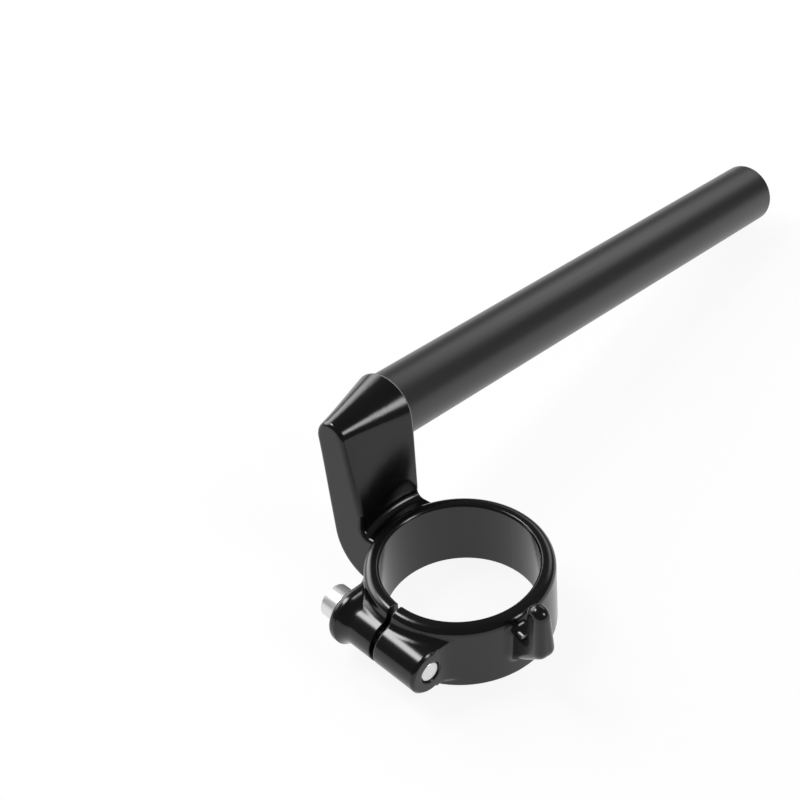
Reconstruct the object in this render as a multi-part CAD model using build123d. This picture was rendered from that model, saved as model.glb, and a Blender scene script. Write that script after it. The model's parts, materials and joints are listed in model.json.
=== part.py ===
from build123d import *
from math import cos, hypot, radians, sin, sqrt
import os

# Clip-on handlebar for one fork leg. Sizes in mm, angles in degrees.
# Origin: centre of the fork bore at the ring's base. +Z up the bore, +X under the bar towards its end.

# Slack when edges are picked by place
tiny = 0.01

# Fork clamp ring
fork_diameter = 49.0
fork_clearance = 0.05
ring_wall = 4.7
ring_height = 23.8
ring_top_round = 2.6
ring_base_chamfer = 0.8
bore_chamfer = 0.6
bore_radius = fork_diameter / 2 + fork_clearance
ring_radius = bore_radius + ring_wall

# Pinch ears: barrels on one bolt axis either side of the slit, the head side opening into a bell
slit_angle = 174.0
slit_width = 2.0
bolt_beyond_wall = 0.75
ear_radius = 7.5
ear_end = 18.0
ear_rim_margin = 0.9
ear_end_blend = 8.0
far_ear_chamfer = 0.8
bell_flare = 2.0
bell_rise = 4.5
bell_band = 3.5
bell_round = 2.2
bolt_offset = ring_radius + bolt_beyond_wall
ear_blend = ring_height / 2 - ear_radius - ear_rim_margin
bell_radius = ear_radius + bell_flare

# Pinch bolt, a socket head cap screw
bolt_radius = 3.5
bolt_recess = 0.5
bolt_clearance = 0.4
thread_clearance = 0.03
bolt_tip_chamfer = 0.5
thread_mouth_chamfer = 0.4
head_radius = 5.6
head_height = 7.5
head_chamfer = 0.6
seat_margin = 0.5
hex_across_flats = 6.0
hex_depth = 4.0

# Bar: a plain tube that drops towards its end
bar_radius = 11.1
bar_wall = 2.3
bar_length = 212.0
bar_end_chamfer = 0.4
bar_droop = 9.0
bar_beyond_ring = 18.45
bar_height = 48.65
bar_offset = ring_radius + bar_beyond_ring

# Spigot of the casting in the tube's counterbored root
spigot_step = 0.3
spigot_clearance = 0.05
spigot_length = 30.0
spigot_end_gap = 0.5
spigot_chamfer = 1.0
bar_bore_radius = bar_radius - bar_wall
spigot_radius = bar_bore_radius + spigot_step

# Neck: sections square to the bar, (across, up) from the bar axis
side_face_at = -10.2
mouth_at = 14.2
mouth_lip = 1.2
apex_radius = 5.4
apex_shift = 0.5
shelf_drop = 4.0
arm_base_height = 2.8
outer_slope = 0.25
elbow_up = -33.0
side_front_lean = 0.354
side_outer_angle = -13.6
side_outer_mid = (1.3, -20.2)
side_elbow_across = -1.9
mouth_front_lean = 0.133
mouth_outer_angle = -60.0
mouth_outer_mid = (-0.9, -20.2)
mouth_elbow_across = -4.2
side_round = 1.6
side_root_round = 1.2
mouth_root_round = 3.6
foot_round = 2.8
foot_hollow_radius = 42.5
foot_hollow_depth = 0.6
foot_hollow_along = 3.3
mouth_radius = bar_radius + mouth_lip
shelf_height = ring_height - shelf_drop

# Locating hook in its own radial plane: out from the ring wall, up from the ring's base or top
hook_angle = 256.2
hook_root_width = 8.4
hook_tip_width = 5.2
hook_low = 4.5
hook_gap = 6.35
hook_arm_drop = 3.4
hook_corner_out = 13.85
hook_corner_drop = 5.8
hook_tip_in = 6.1
hook_tip_out = 13.1
hook_tip_rise = 11.6
hook_corner_round = 4.0
hook_tip_round = 3.4
hook_throat_round = 2.0
hook_edge_round = 2.5
hook_blend = 2.5

droop = radians(bar_droop)
bar_up = bar_height * cos(droop)
bar_plane = Plane(
    origin=(bar_up * sin(droop), bar_offset, bar_up * cos(droop)),
    x_dir=(0, 1, 0),
    z_dir=(cos(droop), 0, -sin(droop)),
)
bar_axis = Axis(bar_plane.origin, bar_plane.z_dir)
slit_turn = radians(slit_angle)
ear_plane = Plane(
    origin=(bolt_offset * cos(slit_turn), bolt_offset * sin(slit_turn), ring_height / 2),
    x_dir=(cos(slit_turn), sin(slit_turn), 0),
    z_dir=(sin(slit_turn), -cos(slit_turn), 0),
)
ear_plan = Plane(origin=(0, 0, 0), x_dir=ear_plane.x_dir, z_dir=(0, 0, 1))
bolt_axis = Axis(ear_plane.origin, ear_plane.z_dir)
hook_turn = radians(hook_angle)
hook_plane = Plane(
    origin=(0, 0, 0),
    x_dir=(cos(hook_turn), sin(hook_turn), 0),
    z_dir=(sin(hook_turn), -cos(hook_turn), 0),
)
upright = (Align.CENTER, Align.CENTER, Align.MIN)


def cylinder_along(plane, radius, start, end):
    """Cylinder on a plane's normal between two distances along it."""
    return plane.offset(start) * Cylinder(radius, end - start, align=upright)


def end_rims(shape, axis):
    """Circular edges of a shape in order along an axis."""
    return shape.edges().filter_by(GeomType.CIRCLE).sort_by(axis)


def from_fork(edge):
    """Distance of an edge's middle from the fork axis."""
    middle = edge @ 0.5
    return hypot(middle.X, middle.Y)


def on_wall(edge):
    """Whether an edge's middle is on the outer wall of the ring."""
    return abs(from_fork(edge) - ring_radius) < tiny


def lies_level(edge, height):
    """Whether an edge lies flat at a height."""
    return all(abs((edge @ t).Z - height) < tiny for t in (0, 0.5, 1))


def on_section(shape, along):
    """Edges that lie on the plane square to the bar at a distance along it."""
    flat = bar_plane.offset(along)

    def lies_on_it(edge):
        return all(abs(flat.to_local_coords(edge @ t).Z) < tiny for t in (0.1, 0.5, 0.9))

    return [e for e in shape.edges() if lies_on_it(e)]


def rounded_ring(shape):
    """Round the ring's outer rim at the top and bevel it at the base."""
    shape = fillet([e for e in shape.edges() if on_wall(e) and lies_level(e, ring_height)], ring_top_round)
    return chamfer([e for e in shape.edges() if on_wall(e) and lies_level(e, 0)], ring_base_chamfer)


def level(height, along):
    """Height above the ring's base as a distance up from the bar axis, at a section along the bar."""
    return (height + along * sin(droop)) / cos(droop) - bar_up


def neck_section(along, lean, centre, radius, outer_angle, outer_mid, elbow_across):
    """Closed section of the neck: foot inside the ring, shelf, front face, rounded top, outer side, elbow."""
    shelf = level(shelf_height, along)
    base = level(arm_base_height, along)
    front = Vector(centre, 0) + Vector(-1, lean).normalized() * radius
    foot = Vector(front.X + lean * (shelf - front.Y), shelf)
    crown = Vector(centre, radius)
    turn = radians(outer_angle)
    outer = Vector(centre + radius * cos(turn), radius * sin(turn))
    leaving = Vector(sin(turn), -cos(turn))
    down = Vector(-outer_slope, -1).normalized()
    elbow = Vector(elbow_across, elbow_up)
    elbow_radius = (elbow_up - base) / (1 + down.X)
    elbow_end = Vector(elbow.X + down.Y * elbow_radius, base)
    edges = [
        Line((-bar_offset, base), (-bar_offset, shelf)),
        Line((-bar_offset, shelf), foot),
        Line(foot, front),
        ThreePointArc(front, crown, outer),
        Spline(outer, Vector(*outer_mid), elbow, tangents=(leaving, down)),
        TangentArc(elbow, elbow_end, tangent=down),
        Line(elbow_end, (-bar_offset, base)),
    ]
    return bar_plane.offset(along) * make_face(edges)


# Hook: a rounded peg on an arm that leaves the ring wall
hook_root = (bore_radius + ring_radius) / 2
hook_arm_top = ring_height - hook_arm_drop
hook_top = ring_height + hook_tip_rise
outer_corner = Vector(ring_radius + hook_corner_out, ring_height - hook_corner_drop)
outer_tip = Vector(ring_radius + hook_tip_out, hook_top)
inner_tip = Vector(ring_radius + hook_tip_in, hook_top)
throat = Vector(ring_radius + hook_gap, hook_arm_top)
hook_face = make_face(Polyline(
    (hook_root, hook_low), outer_corner, outer_tip, inner_tip, throat, (hook_root, hook_arm_top), close=True
))


def hook_corners(*points):
    """Corners of the hook's outline at the given points."""
    return [v for v in hook_face.vertices() if any((Vector(v) - p).length < tiny for p in points)]


hook_face = fillet(hook_corners(outer_corner), hook_corner_round)
hook_face = fillet(hook_corners(outer_tip, inner_tip), hook_tip_round)
hook_face = fillet(hook_corners(throat), hook_throat_round)
hook = extrude(hook_face, hook_root_width / 2, both=True)
hook_taper = Plane.ZY * make_face(Polyline(
    (hook_root_width / 2, hook_low), (hook_tip_width / 2, hook_top),
    (-hook_tip_width / 2, hook_top), (-hook_root_width / 2, hook_low), close=True,
))
hook = hook_plane * (hook & extrude(hook_taper, 2 * outer_corner.X, both=True))
hook_sides = hook.faces().filter_by(GeomType.PLANE).sort_by(SortBy.AREA)[-2:]
hook = fillet([e for f in hook_sides for e in f.edges() if from_fork(e) > ring_radius], hook_edge_round)

# Ring and hook
plain_ring = Cylinder(ring_radius, ring_height, align=upright)
clamp = plain_ring + hook
hook_roots = []
for edge in clamp.edges():
    place = hook_plane.to_local_coords(edge @ 0.5)
    if on_wall(edge) and place.X > 0 and abs(place.Z) < hook_root_width:
        hook_roots.append(edge)
clamp = fillet(hook_roots, hook_blend)

# Ears: one long barrel blended to the ring, its ends cut to sweep into the ring wall
barrel_end = ring_radius + ear_radius
clamp = clamp + cylinder_along(ear_plane, ear_radius, -barrel_end, barrel_end)
ear_root = max(clamp.edges().filter_by(GeomType.BSPLINE), key=lambda e: e.length)
clamp = fillet([ear_root], ear_blend)
clamp = rounded_ring(clamp)
cut_reach = 2 * barrel_end
sweep_reach = ring_radius + ear_end_blend
sweep_out = ear_end + ear_end_blend
sweep_across = sqrt(sweep_reach**2 - sweep_out**2)
sweep_centre = Vector(sweep_across, sweep_out)
sweep_middle = sweep_centre + (Vector(0, -1) - sweep_centre.normalized()).normalized() * ear_end_blend
wall_touch = sweep_centre * (ring_radius / sweep_reach)
inside_wall = wall_touch * (bore_radius / ring_radius)
end_cut = make_face([
    Line((cut_reach, ear_end), (sweep_across, ear_end)),
    ThreePointArc((sweep_across, ear_end), sweep_middle, wall_touch),
    Line(wall_touch, inside_wall),
    Line(inside_wall, (0, cut_reach)),
    Line((0, cut_reach), (cut_reach, cut_reach)),
    Line((cut_reach, cut_reach), (cut_reach, ear_end)),
])
end_cut = extrude(end_cut, ring_height)
clamp = clamp - ear_plan * end_cut - ear_plan * mirror(end_cut, Plane.XZ)
clamp = clamp + rounded_ring(plain_ring)

# Bevel on the far ear's free rim, up to where the blend to the ring begins
blend_centre = sqrt((ring_radius + ear_blend)**2 - ear_end**2)
free_from = (blend_centre - bolt_offset) * ear_radius / (ear_radius + ear_blend)
rim_corner = Plane.XZ * make_face(Polyline(
    (ear_radius - far_ear_chamfer - tiny, -ear_end - tiny),
    (ear_radius + tiny, far_ear_chamfer - ear_end + tiny),
    (ear_radius + tiny, -ear_end - tiny),
    close=True,
))
free_side = Box(cut_reach, cut_reach, cut_reach, align=(Align.MIN, Align.CENTER, Align.CENTER))
clamp = clamp - ear_plane * (revolve(rim_corner, Axis.Z) & Pos(free_from, 0, 0) * free_side)

# Bell on the head side, with a web of the same section in to the ring
bell_full = ear_end - bell_band
bell_start = bell_full - bell_rise
bell_side = make_face([
    Line((0, bell_start), (ear_radius, bell_start)),
    TangentArc((ear_radius, bell_start), (bell_radius, bell_full), tangent=(0, 1)),
    Line((bell_radius, bell_full), (bell_radius, ear_end)),
    Line((bell_radius, ear_end), (0, ear_end)),
    Line((0, ear_end), (0, bell_start)),
])
bell_corner = Vector(bell_radius, ear_end)
bell_side = fillet([v for v in bell_side.vertices() if (Vector(v) - bell_corner).length < tiny], bell_round)
web_reach = bolt_offset - sqrt(ring_radius**2 - ear_end**2) + tiny
web = extrude(Plane.YZ * bell_side, web_reach, dir=(-1, 0, 0))
bell = ear_plane * (revolve(Plane.XZ * bell_side, Axis.Z) + web + mirror(web, Plane.XZ))

# Neck: lofted from its flat side face to the round mouth, then blended to the ring
side_section = neck_section(
    side_face_at, side_front_lean, apex_shift, apex_radius,
    side_outer_angle, side_outer_mid, side_elbow_across,
)
mouth_section = neck_section(
    mouth_at, mouth_front_lean, 0, mouth_radius,
    mouth_outer_angle, mouth_outer_mid, mouth_elbow_across,
)
neck = loft([side_section, mouth_section], ruled=True)
mouth_foot = max([v for v in mouth_section.vertices() if abs(v.Z - shelf_height) < tiny], key=lambda v: v.Y)
hollow_drop = sqrt(foot_hollow_radius**2 - (mouth_foot.X - foot_hollow_along)**2)
hollow_centre = mouth_foot.Y + foot_hollow_depth - hollow_drop
hollow = Cylinder(foot_hollow_radius, bar_height, align=upright)
neck = neck - Pos(foot_hollow_along, hollow_centre, shelf_height) * hollow
casting = clamp + bell
casting = casting + neck
foot_edge = max([e for e in casting.edges() if lies_level(e, shelf_height)], key=lambda e: (e @ 0.5).Y)
casting = fillet([foot_edge], foot_round)
casting = fillet([e for e in on_section(casting, mouth_at) if on_wall(e)], mouth_root_round)
above_foot = hollow_centre + foot_hollow_radius - foot_round / 2
side_edges = [e for e in on_section(casting, side_face_at) if (e @ 0.5).Y > above_foot]
casting = fillet(side_edges, side_round)
casting = fillet([e for e in on_section(casting, side_face_at) if on_wall(e)], side_root_round)

# Spigot inside the tube
spigot = cylinder_along(bar_plane, spigot_radius, mouth_at - bar_wall, mouth_at + spigot_length)
casting = casting + chamfer(end_rims(spigot, bar_axis)[-1:], spigot_chamfer)

# Fork bore, slit, bolt holes and spot face under the bolt's head
casting = casting - Cylinder(bore_radius, ring_height, align=upright)
bore_rims = [e for e in end_rims(casting, Axis.Z) if abs(from_fork(e) - bore_radius) < tiny]
casting = chamfer(bore_rims, bore_chamfer)
casting = casting - ear_plane * Box(bolt_offset, 2 * ring_height, slit_width)
casting = casting - cylinder_along(ear_plane, bolt_radius + bolt_clearance, 0, ear_end)
thread_radius = bolt_radius + thread_clearance
casting = casting - cylinder_along(ear_plane, thread_radius, -ear_end, 0)
thread_mouth = Cone(thread_radius + thread_mouth_chamfer, thread_radius, thread_mouth_chamfer, align=upright)
casting = casting - ear_plane.offset(-ear_end) * thread_mouth
head_top = ear_end + head_height
casting = casting - cylinder_along(ear_plane, head_radius + seat_margin, ear_end, head_top)

# Bar tube, butted on the mouth
bar_end = mouth_at + bar_length
bar_tube = cylinder_along(bar_plane, bar_radius, mouth_at, bar_end)
bar_tube = bar_tube - cylinder_along(bar_plane, bar_bore_radius, mouth_at, bar_end)
bar_tube = chamfer(end_rims(bar_tube, bar_axis)[-2:], bar_end_chamfer)
root_end = mouth_at + spigot_length + spigot_end_gap
bar_tube = bar_tube - cylinder_along(bar_plane, spigot_radius + spigot_clearance, mouth_at, root_end)

# Pinch bolt, its head on the bell and its tip just inside the far ear
shank = cylinder_along(ear_plane, bolt_radius, bolt_recess - ear_end, ear_end)
shank = chamfer(end_rims(shank, bolt_axis)[:1], bolt_tip_chamfer)
head = cylinder_along(ear_plane, head_radius, ear_end, head_top)
head = chamfer(end_rims(head, bolt_axis)[-1:], head_chamfer)
hexagon = RegularPolygon(hex_across_flats / 2, 6, major_radius=False)
pinch_bolt = shank + head - ear_plane.offset(head_top - hex_depth) * extrude(hexagon, hex_depth)

os.makedirs("parts", exist_ok=True)
export_step(casting, "parts/clamp_casting.step")
export_step(bar_tube, "parts/bar_tube.step")
export_step(pinch_bolt, "parts/pinch_bolt.step")
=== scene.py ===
import json
from math import cos, radians, sin

import bmesh
import bpy
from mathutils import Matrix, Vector

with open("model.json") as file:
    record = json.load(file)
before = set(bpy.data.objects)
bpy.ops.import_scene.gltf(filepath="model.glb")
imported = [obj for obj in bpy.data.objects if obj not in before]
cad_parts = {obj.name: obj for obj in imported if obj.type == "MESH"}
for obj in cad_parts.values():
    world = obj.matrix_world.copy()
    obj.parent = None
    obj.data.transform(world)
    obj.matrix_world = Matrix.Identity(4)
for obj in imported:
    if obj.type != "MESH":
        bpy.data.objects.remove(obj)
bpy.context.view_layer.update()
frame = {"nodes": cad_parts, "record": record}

bl_info = {
    "name": "Clip-on handlebar looks",
    "version": (1, 0, 0),
    "blender": (4, 5, 0),
    "location": "View3D > Sidebar > Clip-on",
    "description": "Finishes and studio stage for a clip-on handlebar built in CAD",
    "category": "Object",
}

MM = 0.001
WHITE = (1.0, 1.0, 1.0, 1.0)

# The bar's mount stands a little inside the tube's free end, and the tube runs back from it to the mouth
BAR_MOUNT = next(mount for mount in frame["record"]["mounts"] if mount["name"] == "bar_grip")
BAR_DIRECTION = Vector(BAR_MOUNT["axis"])
BAR_MOUNT_INSET_MM = 1.0
MOUTH_BACK_MM = BAR_MOUNT["dims"]["length_mm"] - BAR_MOUNT_INSET_MM
MOUTH_CENTRE = Vector(BAR_MOUNT["pos_m"]) - BAR_DIRECTION * MOUTH_BACK_MM * MM
# Radius of the casting's round mouth, where the tube leaves it
MOUTH_RADIUS = 12.3 * MM
# The bolt lies along Y, turned by this angle about Z
BOLT_TURN = radians(-6.0)
# Point that the lamps are turned to
PART_MIDDLE = Vector((0.06, 0.02, 0.03))

# Most of a noise texture's values lie between these two
NOISE_LOW = 0.3
NOISE_HIGH = 0.7

# Lamps round the part, with azimuth from +X and elevation in degrees, and size and distance in metres.
# Peak is the brightness of the lamp's middle, where a white wall has 1.
SOFTBOXES = {
    "softbox_back": {
        "azimuth": 10.0, "elevation": 33.0, "distance": 1.2, "size": (1.4, 0.7), "peak": 1.4,
    },
    "softbox_left": {
        "azimuth": 108.0, "elevation": 56.0, "distance": 1.2, "size": (0.8, 0.5), "peak": 12.0,
    },
    "softbox_right": {
        "azimuth": -75.0, "elevation": 36.0, "distance": 1.2, "size": (0.5, 0.6), "peak": 8.0,
    },
    "bounce_wall": {
        "azimuth": 90.0, "elevation": 26.0, "distance": 1.6, "size": (2.6, 1.6), "peak": 4.0,
    },
    "floor_fill": {
        "azimuth": -60.0, "elevation": 50.0, "distance": 1.2, "size": (0.7, 0.7), "peak": 3.0,
        "mirrored": False,
    },
}
# An area lamp's face is as bright as a lit white wall at this many watts for each square metre
WALL_WATTS = 4.0
# The lamp's face is brightest up to the first distance from its middle and dark from the second, as
# shares of its side
GLOW_FULL = 0.15
GLOW_END = 0.5

# Half the side of the square floor, in metres
FLOOR_REACH = 6.0
# Brightness of the world, where white is 1
SKY_LEVEL = 0.15
SENSOR_MM = 36.0


def linear(hex_colour):
    """Linear RGBA of an sRGB hex colour."""
    channels = [int(hex_colour[i:i + 2], 16) / 255 for i in (1, 3, 5)]
    return [c / 12.92 if c <= 0.04045 else ((c + 0.055) / 1.055) ** 2.4 for c in channels] + [1.0]


def add_node(tree, kind, inputs=None, **settings):
    """Add a node, set its properties, and fill its inputs with values or with other nodes' outputs."""
    node = tree.nodes.new(kind)
    for name, value in settings.items():
        setattr(node, name, value)
    for name, value in (inputs or {}).items():
        if isinstance(value, bpy.types.NodeSocket):
            tree.links.new(value, node.inputs[name])
        else:
            node.inputs[name].default_value = value
    return node


def new_material(name):
    """Empty node material; returns it with its tree."""
    material = bpy.data.materials.new(name)
    material.use_nodes = True
    material.node_tree.nodes.clear()
    return material, material.node_tree


def per_metre(size_mm):
    """Texture scale for a feature of a real size in millimetres, on coordinates in metres."""
    return 1.0 / (size_mm * MM)


class CastingFinish(bpy.types.PropertyGroup):
    """Gloss black paint of the clamp casting."""

    colour: bpy.props.FloatVectorProperty(
        name="Paint colour", description="Colour of the black paint", subtype="COLOR",
        size=4, min=0.0, max=1.0, default=linear("#0B0B0C"),
    )
    roughness: bpy.props.FloatProperty(
        name="Roughness", description="How blurred the paint's reflections are",
        default=0.16, min=0.0, max=1.0, subtype="FACTOR",
    )
    edge_mm: bpy.props.FloatProperty(
        name="Edge", description="Radius that the paint rounds over sharp edges, in mm",
        default=0.7, min=0.0,
    )
    peel_mm: bpy.props.FloatProperty(
        name="Orange peel", description="Width of one ripple of the sprayed paint, in mm",
        default=2.2, min=0.2,
    )
    # Pale colour of the painted highlight along the mouth's edge
    highlight_colour: bpy.props.FloatVectorProperty(
        name="Painted highlight colour", description="Colour of the painted highlight along the mouth's edge",
        subtype="COLOR", size=4, min=0.0, max=1.0, default=linear("#828385"),
    )
    # Width of the painted highlight along the mouth's edge, in mm
    highlight_mm: bpy.props.FloatProperty(
        name="Painted highlight", description="Width of the painted highlight along the mouth's edge, in mm",
        default=0.34, min=0.0,
    )


class BarFinish(bpy.types.PropertyGroup):
    """Satin black anodised skin of the bar tube."""

    colour: bpy.props.FloatVectorProperty(
        name="Anodised colour", description="Colour of the black anodised skin", subtype="COLOR",
        size=4, min=0.0, max=1.0, default=linear("#202022"),
    )
    roughness: bpy.props.FloatProperty(
        name="Roughness", description="How blurred the tube's reflections are",
        default=0.34, min=0.0, max=1.0, subtype="FACTOR",
    )
    streak_mm: bpy.props.FloatProperty(
        name="Draw line", description="Width of one faint line left by drawing the tube, in mm",
        default=0.5, min=0.05,
    )


class BoltFinish(bpy.types.PropertyGroup):
    """Bright zinc plate of the pinch bolt."""

    colour: bpy.props.FloatVectorProperty(
        name="Plate colour", description="Colour of the zinc plate", subtype="COLOR",
        size=4, min=0.0, max=1.0, default=linear("#E6E7E8"),
    )
    roughness: bpy.props.FloatProperty(
        name="Roughness", description="How blurred the plate's reflections are",
        default=0.32, min=0.0, max=1.0, subtype="FACTOR",
    )
    streak_mm: bpy.props.FloatProperty(
        name="Streak", description="Width of one faint streak along the bolt, in mm",
        default=0.5, min=0.05,
    )


class StageSettings(bpy.types.PropertyGroup):
    """Floor and camera."""

    floor_colour: bpy.props.FloatVectorProperty(
        name="Floor colour", description="Colour of the studio floor", subtype="COLOR",
        size=4, min=0.0, max=1.0, default=linear("#F2F2F2"),
    )
    floor_white: bpy.props.FloatProperty(
        name="Floor white",
        description="Share of plain white that the camera and reflections see on the floor",
        default=0.9, min=0.0, max=1.0, subtype="FACTOR",
    )
    lens_mm: bpy.props.FloatProperty(
        name="Lens", description="Focal length of the camera on a 36 mm wide sensor",
        default=82.68, min=10.0, subtype="DISTANCE_CAMERA",
    )
    camera_place: bpy.props.FloatVectorProperty(
        name="Camera place", description="Where the camera stands", subtype="TRANSLATION", unit="LENGTH",
        default=(-0.29026, -0.26808, 0.41778),
    )
    camera_turn: bpy.props.FloatVectorProperty(
        name="Camera turn", description="Euler angles of the camera", subtype="EULER", unit="ROTATION",
        default=(radians(50.094), radians(4.181), radians(-48.842)),
    )


def black_gloss_paint(finish):
    """Gloss black paint, sprayed on cast aluminium: near black, with clear, faintly rippled reflections.

    A thin pale line painted along the edge of the mouth is a painted highlight on the lip's rounded edge.
    """
    material, tree = new_material("gloss_black_paint_sprayed")
    place = add_node(tree, "ShaderNodeTexCoord").outputs["Object"]
    peel = add_node(tree, "ShaderNodeTexNoise", {
        "Vector": place, "Scale": per_metre(finish.peel_mm), "Detail": 1.0, "Roughness": 0.4,
    })
    edges = add_node(tree, "ShaderNodeBevel", {"Radius": finish.edge_mm * MM}, samples=16)
    ripple = add_node(tree, "ShaderNodeBump", {
        "Strength": 0.012, "Distance": 0.05 * MM,
        "Height": peel.outputs["Fac"], "Normal": edges.outputs["Normal"],
    })
    # Patches of the coat, each about this wide, are a little duller than the rest
    haze_mm = 18.0
    haze = add_node(tree, "ShaderNodeTexNoise", {
        "Vector": place, "Scale": per_metre(haze_mm), "Detail": 3.0,
    })
    gloss = add_node(tree, "ShaderNodeMapRange", {
        "Value": haze.outputs["Fac"], "From Min": NOISE_LOW, "From Max": NOISE_HIGH,
        "To Min": finish.roughness * 0.85, "To Max": finish.roughness * 1.2,
    })
    # The painted highlight is a pale line painted on the mouth's outside, stopping just short of its flat
    # face
    highlight_width = finish.highlight_mm * MM
    face_gap = 0.1 * highlight_width
    half_line = (highlight_width - face_gap) / 2
    line_along = MOUTH_CENTRE.dot(BAR_DIRECTION) - face_gap - half_line
    along = add_node(tree, "ShaderNodeVectorMath", {0: place, 1: BAR_DIRECTION}, operation="DOT_PRODUCT")
    line = add_node(tree, "ShaderNodeMath", {
        0: along.outputs["Value"], 1: line_along, 2: half_line,
    }, operation="COMPARE")
    # Off the round mouth the line fades out, between these multiples of its radius
    fade_start = 1.01
    fade_end = 1.1
    from_centre = add_node(tree, "ShaderNodeVectorMath", {0: place, 1: MOUTH_CENTRE}, operation="DISTANCE")
    on_mouth = add_node(tree, "ShaderNodeMapRange", {
        "Value": from_centre.outputs["Value"],
        "From Min": MOUTH_RADIUS * fade_end, "From Max": MOUTH_RADIUS * fade_start,
    })
    # Mask of the painted highlight: 1 on the pale line along the mouth, 0 elsewhere
    painted_highlight = add_node(tree, "ShaderNodeMath", {
        0: line.outputs["Value"], 1: on_mouth.outputs["Result"],
    }, operation="MULTIPLY")
    # The pale colour of the painted highlight is mixed into the paint here
    # Inputs 6 and 7 and output 2 are the Mix node's colours
    colour = add_node(tree, "ShaderNodeMix", {
        "Factor": painted_highlight.outputs["Value"], 6: finish.colour, 7: finish.highlight_colour,
    }, data_type="RGBA")
    paint = add_node(tree, "ShaderNodeBsdfPrincipled", {
        "Base Color": colour.outputs[2], "Roughness": gloss.outputs["Result"], "IOR": 1.5,
        "Normal": ripple.outputs["Normal"],
    })
    add_node(tree, "ShaderNodeOutputMaterial", {"Surface": paint.outputs["BSDF"]})
    return material


def black_anodised_tube(finish):
    """Satin black anodised aluminium, drawn: dark grey with broad soft reflections along the tube.

    Its draw lines are wider than real ones, which are too fine to show.
    """
    material, tree = new_material("satin_black_anodised_drawn")
    place = add_node(tree, "ShaderNodeTexCoord").outputs["Object"]
    turn = BAR_DIRECTION.to_track_quat("Z", "Y").inverted().to_euler()
    along = add_node(tree, "ShaderNodeMapping", {"Vector": place, "Rotation": turn})
    # A draw line is 100 times as long as it is wide
    squeeze = (1.0, 1.0, 0.01)
    stretched = add_node(tree, "ShaderNodeMapping", {"Vector": along.outputs["Vector"], "Scale": squeeze})
    lines = add_node(tree, "ShaderNodeTexNoise", {
        "Vector": stretched.outputs["Vector"], "Scale": per_metre(finish.streak_mm), "Detail": 2.0,
    })
    gloss = add_node(tree, "ShaderNodeMapRange", {
        "Value": lines.outputs["Fac"], "From Min": NOISE_LOW, "From Max": NOISE_HIGH,
        "To Min": finish.roughness * 0.92, "To Max": finish.roughness * 1.08,
    })
    grooves = add_node(tree, "ShaderNodeBump", {
        "Strength": 0.04, "Distance": 0.02 * MM, "Height": lines.outputs["Fac"],
    })
    skin = add_node(tree, "ShaderNodeBsdfPrincipled", {
        "Base Color": finish.colour, "Roughness": gloss.outputs["Result"], "IOR": 1.6,
        "Normal": grooves.outputs["Normal"],
    })
    add_node(tree, "ShaderNodeOutputMaterial", {"Surface": skin.outputs["BSDF"]})
    return material


def bright_zinc_plate(finish):
    """Bright zinc plate on a drawn steel bolt: silver, with faint streaks along the bolt in the shine.

    The streaks are wider than real ones, which are too fine to show.
    """
    material, tree = new_material("bright_zinc_plate")
    place = add_node(tree, "ShaderNodeTexCoord").outputs["Object"]
    along = add_node(tree, "ShaderNodeMapping", {"Vector": place, "Rotation": (0.0, 0.0, -BOLT_TURN)})
    # A streak is about 17 times as long as it is wide
    squeeze = (1.0, 0.06, 1.0)
    stretched = add_node(tree, "ShaderNodeMapping", {"Vector": along.outputs["Vector"], "Scale": squeeze})
    streaks = add_node(tree, "ShaderNodeTexNoise", {
        "Vector": stretched.outputs["Vector"], "Scale": per_metre(finish.streak_mm), "Detail": 2.0,
    })
    gloss = add_node(tree, "ShaderNodeMapRange", {
        "Value": streaks.outputs["Fac"], "From Min": NOISE_LOW, "From Max": NOISE_HIGH,
        "To Min": finish.roughness * 0.8, "To Max": finish.roughness * 1.2,
    })
    grooves = add_node(tree, "ShaderNodeBump", {
        "Strength": 0.12, "Distance": 0.02 * MM, "Height": streaks.outputs["Fac"],
    })
    plate = add_node(tree, "ShaderNodeBsdfPrincipled", {
        "Base Color": finish.colour, "Metallic": 0.75, "Roughness": gloss.outputs["Result"],
        "Normal": grooves.outputs["Normal"],
    })
    add_node(tree, "ShaderNodeOutputMaterial", {"Surface": plate.outputs["BSDF"]})
    return material


def studio_floor(settings):
    """White paper floor: the camera and reflections see it almost white, with the part's shadow kept."""
    material, tree = new_material("studio_floor")
    paper = add_node(tree, "ShaderNodeBsdfDiffuse", {"Color": settings.floor_colour})
    white = add_node(tree, "ShaderNodeEmission", {"Color": WHITE, "Strength": 1.0})
    path = add_node(tree, "ShaderNodeLightPath")
    mirrored = add_node(tree, "ShaderNodeMath", {
        0: path.outputs["Is Glossy Ray"], 1: path.outputs["Is Transmission Ray"],
    }, operation="MAXIMUM")
    seen = add_node(tree, "ShaderNodeMath", {
        0: path.outputs["Is Camera Ray"], 1: mirrored.outputs["Value"],
    }, operation="MAXIMUM")
    share = add_node(tree, "ShaderNodeMath", {
        0: seen.outputs["Value"], 1: settings.floor_white,
    }, operation="MULTIPLY")
    sweep = add_node(tree, "ShaderNodeMixShader", {
        0: share.outputs["Value"], 1: paper.outputs["BSDF"], 2: white.outputs["Emission"],
    })
    add_node(tree, "ShaderNodeOutputMaterial", {"Surface": sweep.outputs["Shader"]})
    return material


def dress(node, material):
    """Give a CAD node its material."""
    piece = frame["nodes"][node]
    piece.data.materials.clear()
    piece.data.materials.append(material)


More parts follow.
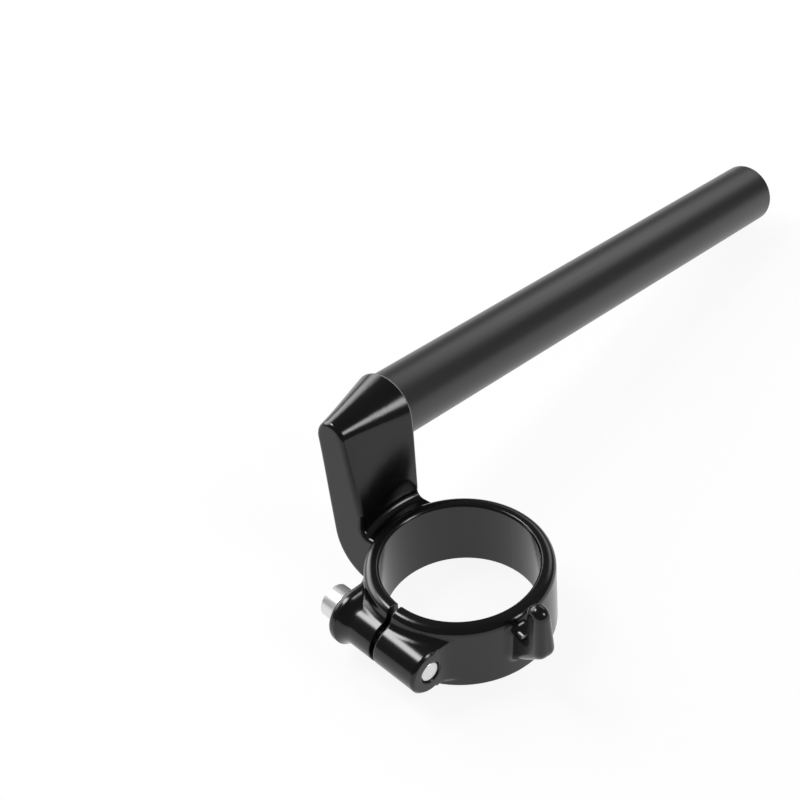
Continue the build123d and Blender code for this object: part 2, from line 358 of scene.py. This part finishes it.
def add_softbox(name, azimuth, elevation, distance, size, peak, mirrored=True):
    """Lamp with a bright middle that fades to its rim, turned to the part from a direction.

    Reflections show it unless mirrored is False.
    """
    turn = radians(azimuth)
    rise = radians(elevation)
    towards_lamp = Vector((cos(rise) * cos(turn), cos(rise) * sin(turn), sin(rise)))
    lamp = bpy.data.lights.new(name, "AREA")
    lamp.shape = "RECTANGLE"
    lamp.size = size[0]
    lamp.size_y = size[1]
    lamp.energy = WALL_WATTS * size[0] * size[1] * peak
    lamp.use_nodes = True
    tree = lamp.node_tree
    tree.nodes.clear()
    spot = add_node(tree, "ShaderNodeNewGeometry").outputs["Parametric"]
    middle = (0.5, 0.5, 0.0)
    off_centre = add_node(tree, "ShaderNodeVectorMath", {0: spot, 1: middle}, operation="DISTANCE")
    glow = add_node(tree, "ShaderNodeMapRange", {
        "Value": off_centre.outputs["Value"], "From Min": GLOW_END, "From Max": GLOW_FULL,
    }, interpolation_type="SMOOTHSTEP")
    face = add_node(tree, "ShaderNodeEmission", {"Strength": glow.outputs["Result"]})
    add_node(tree, "ShaderNodeOutputLight", {"Surface": face.outputs["Emission"]})
    softbox = bpy.data.objects.new(name, lamp)
    softbox.visible_glossy = mirrored
    softbox.location = PART_MIDDLE + towards_lamp * distance
    softbox.rotation_euler = (-towards_lamp).to_track_quat("-Z", "Y").to_euler()
    bpy.context.scene.collection.objects.link(softbox)


class CLIPON_OT_casting(bpy.types.Operator):
    """Paint the clamp casting"""

    bl_idname = "clipon.casting"
    bl_label = "Clamp casting"

    def execute(self, context):
        dress("clamp_casting", black_gloss_paint(context.scene.clipon_casting))
        return {"FINISHED"}


class CLIPON_OT_bar(bpy.types.Operator):
    """Finish the bar tube"""

    bl_idname = "clipon.bar"
    bl_label = "Bar tube"

    def execute(self, context):
        dress("bar_tube", black_anodised_tube(context.scene.clipon_bar))
        return {"FINISHED"}


class CLIPON_OT_bolt(bpy.types.Operator):
    """Plate the pinch bolt"""

    bl_idname = "clipon.bolt"
    bl_label = "Pinch bolt"

    def execute(self, context):
        dress("pinch_bolt", bright_zinc_plate(context.scene.clipon_bolt))
        return {"FINISHED"}


class CLIPON_OT_stage(bpy.types.Operator):
    """Make the floor, lamps, world and camera"""

    bl_idname = "clipon.stage"
    bl_label = "Studio stage"

    def execute(self, context):
        settings = context.scene.clipon_stage
        mesh = bpy.data.meshes.new("studio_floor")
        shape = bmesh.new()
        bmesh.ops.create_grid(shape, x_segments=1, y_segments=1, size=FLOOR_REACH)
        shape.to_mesh(mesh)
        shape.free()
        floor = bpy.data.objects.new("studio_floor", mesh)
        floor.data.materials.append(studio_floor(settings))
        context.scene.collection.objects.link(floor)

        world = bpy.data.worlds.new("studio_world")
        world.use_nodes = True
        tree = world.node_tree
        tree.nodes.clear()
        sky = add_node(tree, "ShaderNodeBackground", {"Color": WHITE, "Strength": SKY_LEVEL})
        add_node(tree, "ShaderNodeOutputWorld", {"Surface": sky.outputs["Background"]})
        context.scene.world = world

        for name, softbox in SOFTBOXES.items():
            add_softbox(name, **softbox)

        camera = bpy.data.cameras.new("photo_camera")
        camera.sensor_width = SENSOR_MM
        camera.lens = settings.lens_mm
        viewer = bpy.data.objects.new("photo_camera", camera)
        viewer.location = settings.camera_place
        viewer.rotation_euler = settings.camera_turn
        context.scene.collection.objects.link(viewer)
        context.scene.camera = viewer
        context.scene.view_settings.view_transform = "Standard"
        return {"FINISHED"}


class CLIPON_PT_looks(bpy.types.Panel):
    """Buttons and settings for the clip-on handlebar"""

    bl_idname = "CLIPON_PT_looks"
    bl_label = "Clip-on handlebar"
    bl_space_type = "VIEW_3D"
    bl_region_type = "UI"
    bl_category = "Clip-on"

    def draw(self, context):
        for operator, settings in PIECES:
            column = self.layout.column(align=True)
            column.operator(operator.bl_idname)
            group = getattr(context.scene, settings)
            for name in group.__annotations__:
                column.prop(group, name)


GROUPS = {
    "clipon_casting": CastingFinish,
    "clipon_bar": BarFinish,
    "clipon_bolt": BoltFinish,
    "clipon_stage": StageSettings,
}
PIECES = [
    (CLIPON_OT_casting, "clipon_casting"),
    (CLIPON_OT_bar, "clipon_bar"),
    (CLIPON_OT_bolt, "clipon_bolt"),
    (CLIPON_OT_stage, "clipon_stage"),
]
CLASSES = [*GROUPS.values(), *[operator for operator, settings in PIECES], CLIPON_PT_looks]


def register():
    for item in CLASSES:
        bpy.utils.register_class(item)
    for name, group in GROUPS.items():
        setattr(bpy.types.Scene, name, bpy.props.PointerProperty(type=group))


def unregister():
    for name in GROUPS:
        delattr(bpy.types.Scene, name)
    for item in reversed(CLASSES):
        bpy.utils.unregister_class(item)


def main():
    register()
    bpy.ops.clipon.casting()
    bpy.ops.clipon.bar()
    bpy.ops.clipon.bolt()
    bpy.ops.clipon.stage()


if __name__ == "__main__":
    main()
